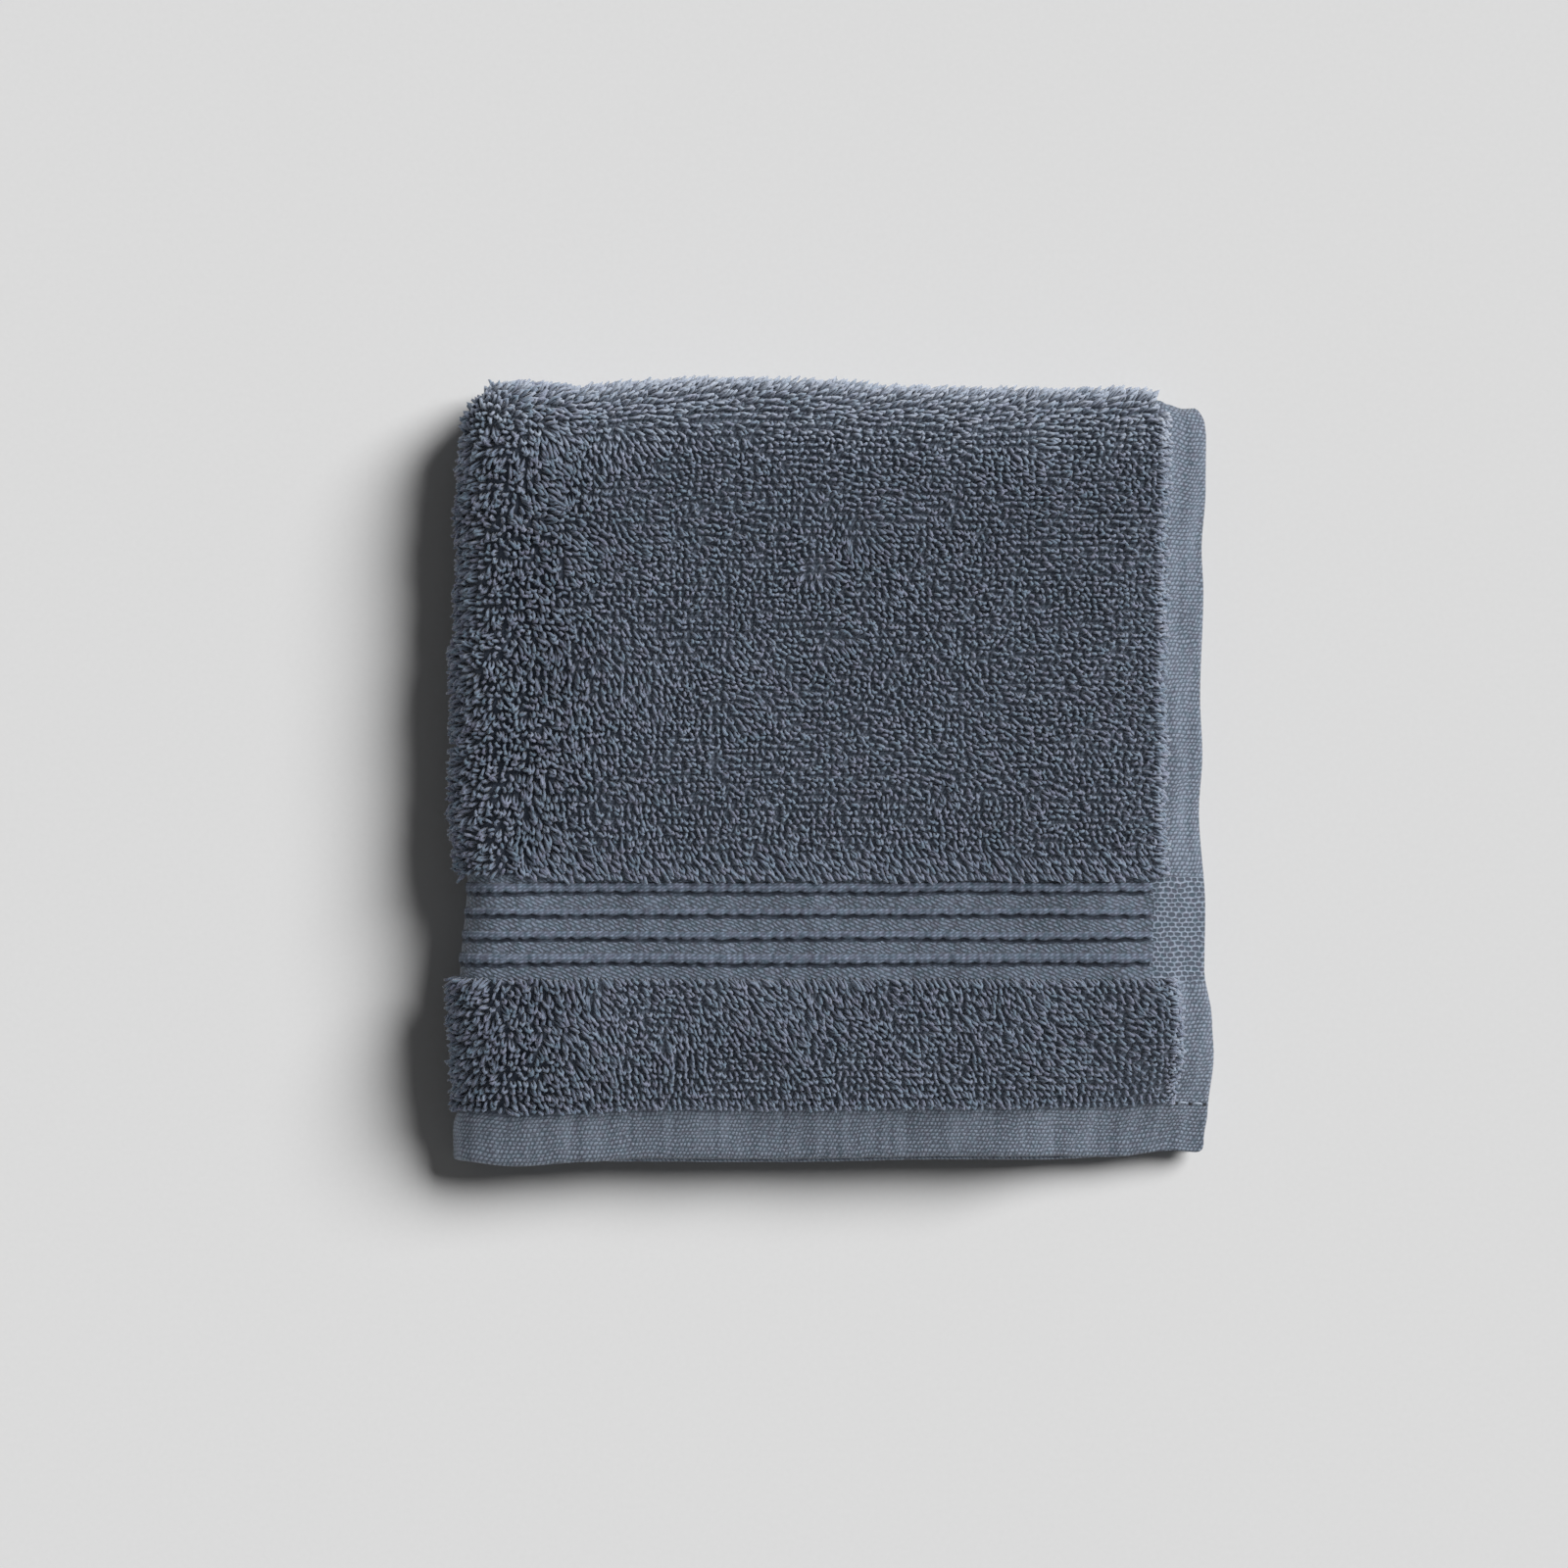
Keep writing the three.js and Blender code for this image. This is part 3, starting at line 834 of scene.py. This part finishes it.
def makeLoopShape(name, shape, path, sides):
    # a tube round the path, pointed at both ends, which stay below the ground weave
    width, height, twist, thick = shape
    middle = np.array([[x * width, y * twist, z * (height - thick)] for x, y, z, share in path])
    radii = [share * thick for x, y, z, share in path]
    points, faces, uv, rises = [middle[0]], [], [(0, 0)], [0]
    alongYarn = 0
    for i in range(1, len(path) - 1):
        heading = middle[i + 1] - middle[i - 1]
        heading /= np.linalg.norm(heading)
        side = np.cross(heading, (0, 1, 0))
        side /= np.linalg.norm(side)
        up = np.cross(side, heading)
        alongYarn += np.linalg.norm(middle[i] - middle[i - 1])
        for k in range(sides):
            turn = 2 * math.pi * (k + 0.5) / sides
            points.append(middle[i] + radii[i] * (math.cos(turn) * side + math.sin(turn) * up))
            uv.append((alongYarn, k / sides * 2))
            rises.append(path[i][2])
    points.append(middle[-1])
    uv.append((alongYarn, 0))
    rises.append(0)
    last = len(points) - 1
    for k in range(sides):
        after = (k + 1) % sides
        faces.append((0, 1 + after, 1 + k))
        faces.append((last, last - sides + k, last - sides + after))
        for i in range(len(path) - 3):
            low = 1 + i * sides
            faces.append((low + k, low + after, low + sides + after, low + sides + k))
    item = makeObject(name, np.array(points), faces, pileMaterial, np.array(uv), "yarn")
    setAttribute(item.data, "rise", rises)
    return item


def makeLoopCollection(kind, path, sides):
    shapes = bpy.data.collections.new(kind + "Loops")
    bpy.context.scene.collection.children.link(shapes)
    for i, shape in enumerate(loopShapes[kind]):
        item = makeLoopShape(f"{kind}Loop{i}", shape, path, sides)
        bpy.context.scene.collection.objects.unlink(item)
        shapes.objects.link(item)
    return shapes


def buildLoopTree():
    tree = bpy.data.node_groups.new("setLoopsOnRoots", "GeometryNodeTree")
    tree.interface.new_socket("Geometry", in_out="OUTPUT", socket_type="NodeSocketGeometry")
    for name, kind in [("Roots", "Geometry"), ("Loop shapes", "Collection"), ("Shape count", "Int"),
                       ("Loop scale", "Float"), ("Length spread", "Float"), ("Turn spread", "Float"),
                       ("Tint spread", "Float"), ("Seed", "Int"), ("Material", "Material")]:
        tree.interface.new_socket(name, in_out="INPUT", socket_type="NodeSocket" + kind)
    given = addNode(tree, "NodeGroupInput").outputs
    shapes = addNode(tree, "GeometryNodeCollectionInfo", {
        "Collection": given["Loop shapes"], "Separate Children": True, "Reset Children": True})
    lastShape = addNode(tree, "Math", [given["Shape count"], 1.0], operation="SUBTRACT")
    pick = addNode(tree, "FunctionNodeRandomValue", {4: 0, 5: lastShape, "Seed": given["Seed"]},
                   data_type="INT")
    turn, size, shade = [addNode(tree, "GeometryNodeInputNamedAttribute", {"Name": name}, data_type=kind)
                         for name, kind in (("turn", "FLOAT_VECTOR"), ("size", "FLOAT_VECTOR"),
                                            ("shade", "FLOAT"))]
    spin, longer, lighter = [addNode(tree, "FunctionNodeRandomValue", {2: -1.0, 3: 1.0, "Seed": seed})
                             for seed in (given["Seed"], 7, 21)]
    spun = addNode(tree, "Math", [spin, given["Turn spread"]], operation="MULTIPLY")
    local = addNode(tree, "CombineXYZ", {"Z": spun})
    base, extra = [addNode(tree, "FunctionNodeEulerToRotation", [angles]) for angles in (turn, local)]
    turned = addNode(tree, "FunctionNodeRotateRotation", [base, extra], rotation_space="LOCAL")
    stretch = addNode(tree, "Math", [longer, given["Length spread"], 1.0], operation="MULTIPLY_ADD")
    stretched = addNode(tree, "CombineXYZ", {"X": 1.0, "Y": 1.0, "Z": stretch})
    sized = addNode(tree, "VectorMath", [size, stretched], operation="MULTIPLY")
    scaled = addNode(tree, "VectorMath", {0: sized, "Scale": given["Loop scale"]}, operation="SCALE")
    loops = addNode(tree, "GeometryNodeInstanceOnPoints", {
        "Points": given["Roots"], "Instance": shapes, "Pick Instance": True, "Instance Index": pick,
        "Rotation": turned, "Scale": scaled})
    # random tone plus the shade, which holds painted light and shade
    tint = addNode(tree, "Math", [lighter, given["Tint spread"], shade], operation="MULTIPLY_ADD")
    loops = addNode(tree, "GeometryNodeStoreNamedAttribute", {
        "Geometry": loops, "Name": "tint", "Value": tint}, domain="INSTANCE")
    for name in ("turn", "size", "shade"):
        loops = addNode(tree, "GeometryNodeRemoveAttribute", {"Geometry": loops, "Name": name})
    real = addNode(tree, "GeometryNodeRealizeInstances", {"Geometry": loops})
    dressed = addNode(tree, "GeometryNodeSetMaterial", {"Geometry": real, "Material": given["Material"]})
    addNode(tree, "NodeGroupOutput", {"Geometry": dressed})
    return tree


def socketId(tree, name):
    return next(item.identifier for item in tree.interface.items_tree
                if item.name == name and item.in_out == "INPUT")


def growLoops(name, roots, tree, settings):
    # roots: place, turn, size and shade for each loop
    mesh = bpy.data.meshes.new(name)
    mesh.from_pydata((roots["place"] * metre).tolist(), [], [])
    for key in ("turn", "size"):
        setAttribute(mesh, key, roots[key], "FLOAT_VECTOR", "vector")
    setAttribute(mesh, "shade", roots["shade"])
    holder = addObject(name + "Roots", mesh)
    modifier = holder.modifiers.new("loops", "NODES")
    modifier.node_group = tree
    for label, value in settings.items():
        modifier[socketId(tree, label)] = value
    holder.update_tag()
    evaluated = holder.evaluated_get(bpy.context.evaluated_depsgraph_get())
    real = bpy.data.meshes.new_from_object(evaluated)
    real.name = name
    # the lowest loops are pressed flat by what they lie on
    places = np.empty(len(real.vertices) * 3, np.float32)
    real.vertices.foreach_get("co", places)
    places[2::3] = np.maximum(places[2::3], floorGap * metre)
    real.vertices.foreach_set("co", places)
    bpy.data.objects.remove(holder)
    return addObject(name, real)


pile = {
    "pitchAcross": 1.36,
    "pitchAlong": 1.4,
    "foldPitch": 0.9,  # rows round the top fold, where the loops spread
    "flatPitch": 0.95,
    "rowShift": 0.2,
    "placeJitter": 0.22,
    "rowWander": 0.8,  # waviness of the rows, with its length
    "wanderLength": 9.0,
    "lie": 0.5,  # how far the loops lean over, as the tangent of the angle
    "leanJitter": 0.17,
    "tuft": 0.16,  # how far neighbours lean together into small tufts
    "tuftLength": 3.6,
    "ruffle": 1.6,
    "wayBySideFold": -56.0,  # the way they lie, in degrees from +X
    "wayBySideHem": -36.0,
    "wayOnSideFold": -86.0,
    "wayOnTopFold": 14.0,
    "nearTopTurn": 20.0,
    "waySwing": 28.0,
    "turnSpread": 0.75,
    "foldTurnSpread": 0.95,
    "aboveHem": 2.2,
    "aboveBand": 2.0,
    "belowBand": 0.2,
    "sideTall": 11.5,  # where the standing pile begins beside the side hem
    "sideFlat": [9.8, 10.3, 10.9],
    "stripNearer": 1.9,  # below the band it begins nearer to the edge
    "pastFold": 6.0,  # how far round the side fold the fine loops go
}
# how light the loops look, from 0 for the dark yarn to 1 for the light one and past 1 towards the painted
# sheen; some entries are painted light and shade
shades = {
    "all": 0.5,
    "patches": 0.14,
    # painted light: the flat strip's loops are lit side-on
    "laidFlat": 0.6,
    # painted shade of the deep gaps between the loops by the side fold
    "nearSideFold": -0.3,
    # painted light on the loops round the top fold, where the light grazes them
    "nearTopFold": 0.75,
    "onTopFold": 0.5,
    "byChance": 0.22,  # beside the side fold, where single loops show
}
# where they are combed: the way in degrees, how far over, how many, and how far each turns aside
combed = {
    "alongTopFold": (8, 1.3, 0.8, 0),
    "overBand": (-50, 1.7, 0.8, 0),
    "overEndHem": (-62, 1.2, 0.85, 0),
    "toSideHem": (-12, 2.0, 0.9, 70),
}
# where the pile is ruffled apart: place from the side fold and the end hem, reach and amount
ruffles = [(66, 126, 4, 0.7), (68, 112, 4, 0.8), (110, 155, 5, 0.9), (76, 135, 5, 0.7),
           (11, 141, 3.5, -0.9), (25, 157, 6, 0.8), (8, 160, 6, 0.7), (46, 96, 5, 0.5), (122, 90, 5, 0.5)]


def unit(vectors):
    return vectors / np.linalg.norm(vectors, axis=-1, keepdims=True)


def surfaceFrame(u, v):
    # root, upward direction and pile height, and the directions of +X and +Y laid on the surface
    half = wovenOffset(u, v, sheetHalf(u, v)) + foldLift(u, v)
    low = clothPoint(u, v, half)
    rise = clothPoint(u, v, pileReach(u, v)) - low
    height = np.linalg.norm(rise, axis=-1)
    up = rise / height[:, None]
    step = 0.4
    toRight = clothPoint(u - step, v, half) - low
    toRight = unit(toRight - (toRight * up).sum(-1, keepdims=True) * up)
    return low, up, height, toRight, np.cross(up, toRight)


def laidFlat(u, v):
    # the few rows beside the side hem that are combed flat towards it
    sideTall = pile["sideTall"] - pile["stripNearer"] * (v < bandStart)
    return fromSides(u) < sideTall - 0.1


def lieOfLoops(u, v):
    # which way the loops lie, how far over, how much their turn varies and how light they look
    fromHem, angle, turn, y, inner = clothPlace(u, v)
    x = hemX - fromHem
    onFold = smooth(u, hemX - 9, hemX + 3)
    nearFold = nearSideFold(u)
    onTop = smooth(v, creaseY - 7, creaseY + 1)
    way = mix(pile["wayBySideFold"], pile["wayBySideHem"], smooth(x, 5, 130))
    way = way + pile["nearTopTurn"] * smooth(v, creaseY - 42, creaseY - 12)
    way = mix(mix(way, pile["wayOnSideFold"], onFold), pile["wayOnTopFold"], onTop)
    way = way + pile["waySwing"] * (0.7 * smoothNoise(u, v, 17.0, 41) + 0.6 * smoothNoise(u, v, 6.0, 42))
    way = np.radians(way)
    far = pile["lie"] * (1 + 0.6 * smoothNoise(u, v, 11.0, 43)) * (1 - 0.6 * onFold)
    far = far * (1 + 0.7 * (v < bandStart) + 0.5 * (1 - smooth(x, 5, 40)))
    lean = np.stack([np.cos(way) * far, np.sin(way) * far], -1)
    for placeX, placeY, reach, apart in ruffles:
        away = np.stack([x - placeX, y - placeY], -1) / reach
        distance = np.linalg.norm(away, axis=-1, keepdims=True)
        lean = lean + pile["ruffle"] * apart * away * np.exp(-distance ** 2)
    # neighbours lean together
    step = 0.3
    length = pile["tuftLength"]
    gather = np.stack([smoothNoise(u - step, v, length, 45) - smoothNoise(u + step, v, length, 45),
                       smoothNoise(u, v + step, length, 45) - smoothNoise(u, v - step, length, 45)], -1)
    gather = gather / (2 * step) * (length * (1 + 0.3 * onFold))[:, None] / 2
    lean = lean + gather * (pile["tuft"] * (1 + 0.4 * nearFold + onFold))[:, None]
    # above the band and above the end hem the loops hang over the edge
    aboveBand = (1 - smooth(v, bandEnd + 2, bandEnd + 10)) * (v > bandEnd)
    aboveHem = 1 - smooth(v, endBare + 2, endBare + 8)
    flat = 1.0 * laidFlat(u, v)
    for key, where in (("alongTopFold", onTop), ("overBand", aboveBand * (1 - onFold)),
                       ("overEndHem", aboveHem * (1 - 0.5 * onFold)), ("toSideHem", flat)):
        degrees, over, many, aside = combed[key]
        towards = math.radians(degrees)
        goal = np.array([math.cos(towards), math.sin(towards)]) * over
        lean = mix(lean, goal, (where * many)[:, None])
        way = mix(way, towards + math.radians(aside), where * many * 0.8)
    spread = mix(pile["turnSpread"], pile["foldTurnSpread"], nearFold)
    # random patches of tone, with painted light on the flat strip and round the top fold, and painted
    # shade by the side fold
    shade = (shades["all"] + shades["patches"] * smoothNoise(u, v, 9.0, 44) + shades["laidFlat"] * flat
             + shades["nearSideFold"] * nearFold + shades["nearTopFold"] * smooth(v, creaseY - 16, creaseY)
             + shades["onTopFold"] * smooth(v, creaseY, creaseY + 4))
    return lean, way, spread, shade


def rootsOf(u, v, seed, flatten):
    # towards the side fold the loops stand more loosely
    random = np.random.default_rng(seed)
    low, up, height, toRight, toTop = surfaceFrame(u, v)
    lean, way, spread, shade = lieOfLoops(u, v)
    flat = laidFlat(u, v)
    nearFold = nearSideFold(u)
    loose = np.where(flat, 2.5, 1 + 0.5 * nearFold)[:, None]
    lean = lean + random.normal(0, 1, lean.shape) * loose * pile["leanJitter"]
    heading = unit(up + toRight * lean[:, :1] + toTop * lean[:, 1:])
    side = np.where(random.random(len(u)) < 0.5, -0.8, 0.8)
    way = way + spread * (mix(1, 0.4, nearFold) * random.uniform(-1, 1, len(u)) + nearFold * side)
    plane = toRight * np.cos(way)[:, None] + toTop * np.sin(way)[:, None]
    plane = unit(plane - (plane * heading).sum(-1, keepdims=True) * heading)
    third = np.cross(heading, plane)
    turn = np.stack([np.arctan2(third[:, 2], heading[:, 2]), np.arcsin(np.clip(-plane[:, 2], -1, 1)),
                     np.arctan2(plane[:, 1], plane[:, 0])], -1)
    cosine = (heading * up).sum(-1)
    # a leaning loop is longer, but no longer than its yarn allows
    longer = np.clip(height * flatten / 2.2 / cosine, 0.6, np.where(flat, 1.25, 1.8))
    shade = shade + random.normal(0, shades["byChance"], len(u)) * nearFold
    wide = 1 + 0.1 * nearFold
    return {"place": low, "turn": turn, "size": np.stack([wide, wide, longer], -1), "shade": shade}


def rootGrid(columns, rows, seed):
    # every other row starts a little further on, and the rows wander
    random = np.random.default_rng(seed)
    u, v = np.meshgrid(columns, rows)
    spacing = np.median(np.diff(columns))
    u = u + (np.arange(len(rows)) % 2 * spacing * pile["rowShift"])[:, None]
    u, v = u.ravel(), v.ravel()
    nearer = pile["stripNearer"] * (v < bandStart)
    u = u - nearer * (1 - smooth(u, pile["sideTall"], pile["sideTall"] + 14))
    sway = pile["rowWander"] * smoothNoise(u, v, pile["wanderLength"], seed + 7)
    sway = sway * smooth(u, pile["sideTall"], pile["sideTall"] + 8)
    jitter = pile["placeJitter"] * mix(1, 0.5, nearSideFold(u))
    v = v + sway * smooth(v, bandEnd + 2, bandEnd + 9)
    apart = random.uniform(-1, 1, (2, len(u)))
    return u + jitter * apart[0], v + jitter / 2 * apart[1]


loopTree = buildLoopTree()
fineLoops = makeLoopCollection("fine", finePath, 4)
plainLoops = makeLoopCollection("plain", plainPath, 3)
hemRow = endBare + pile["aboveHem"]
lowRow, highRow = bandStart - pile["belowBand"], bandEnd + pile["aboveBand"]
pitch, flatPitch = pile["pitchAlong"], pile["flatPitch"]
overFold = (creaseY, creaseY + 0.8 * creaseLength, pile["foldPitch"])
pileRows, flatRows = (np.concatenate([evenPlaces(*stretch) for stretch in stretches]) for stretches in (
    ((hemRow, lowRow, pitch), (highRow, creaseY - 1, pitch), overFold),
    ((hemRow - 1, lowRow, flatPitch), (highRow, creaseY, flatPitch))))
fineSettings = {"Loop shapes": fineLoops, "Shape count": len(loopShapes["fine"]), "Loop scale": 1.0,
                "Length spread": 0.1, "Turn spread": 0.12, "Tint spread": 0.28, "Seed": 3,
                "Material": pileMaterial}
plainSettings = {**fineSettings, "Loop shapes": plainLoops, "Shape count": len(loopShapes["plain"])}

fineEnd = clothWidth / 2 + pile["pastFold"]
columns = np.arange(pile["sideTall"], fineEnd, pile["pitchAcross"])
underColumns = np.arange(fineEnd, clothWidth - sideBare, pile["pitchAcross"])
byHem, middle, byFold = np.split(columns, [len(columns) // 3, 2 * len(columns) // 3])
pilePieces = []
for name, places, rows, seed, flatten, settings in [
        ("terryLoopsBySideHem", byHem, pileRows, 51, 1, fineSettings),
        ("terryLoopsMiddle", middle, pileRows, 51, 1, fineSettings),
        ("terryLoopsBySideFold", byFold, pileRows, 51, 1, fineSettings),
        ("terryLoopsLaidFlat", np.array(pile["sideFlat"]), flatRows, 55, 1, fineSettings),
        ("terryLoopsUnderside", underColumns, pileRows, 53, 0.92, plainSettings)]:
    roots = rootsOf(*rootGrid(places, rows, seed), seed + 1, flatten)
    piece = growLoops(name, roots, loopTree, settings)
    pilePieces.append(piece)
    print(name, len(piece.data.polygons), "faces")

for shapes in (fineLoops, plainLoops):
    for item in list(shapes.objects):
        bpy.data.objects.remove(item)
    bpy.data.collections.remove(shapes)

# What each piece stands for
for piece in [sheet, bandRibs, hemStitches, *pilePieces]:
    litByCard.objects.link(piece)
    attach(piece, "root")
    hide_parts("washcloth")
